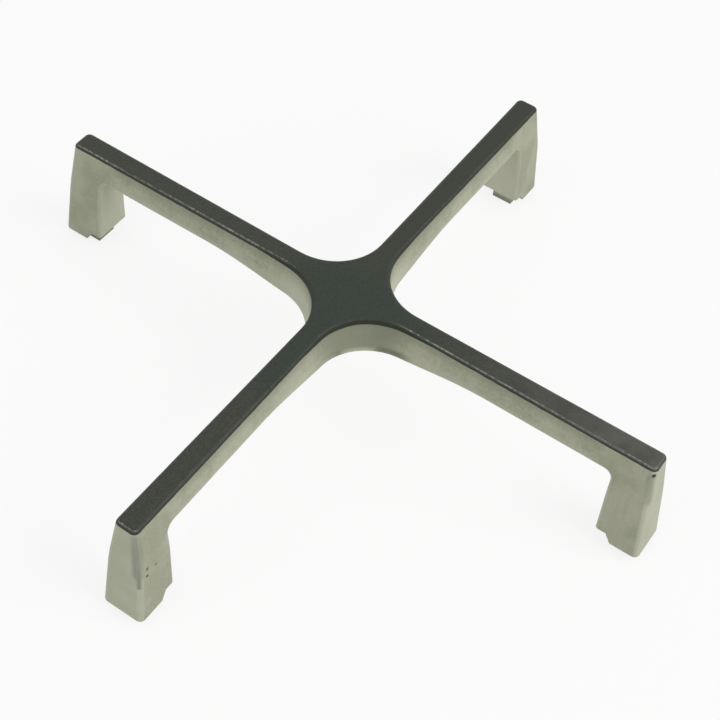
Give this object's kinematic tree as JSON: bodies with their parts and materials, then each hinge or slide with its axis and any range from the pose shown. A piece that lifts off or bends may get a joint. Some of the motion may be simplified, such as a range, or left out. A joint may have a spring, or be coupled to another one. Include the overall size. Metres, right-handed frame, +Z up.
{
  "type": "hob pan support",
  "caption": "Cast-iron hob pan support: a cross of slim arms with a hollowed hub, each arm turning down into a drafted leg with a stepped foot and a locating peg.",
  "frame": {"origin": "centre of the cross, on the plane that the pegs under the feet stand on", "axes": "+Z up towards the pan; the arms lie along X and Y"},
  "size_m": [0.2284, 0.2284, 0.0424],
  "materials": {
    "casting": "matt"
  },
  "bodies": {
    "root": {"pan_support": "casting"}
  },
  "joints": []
}
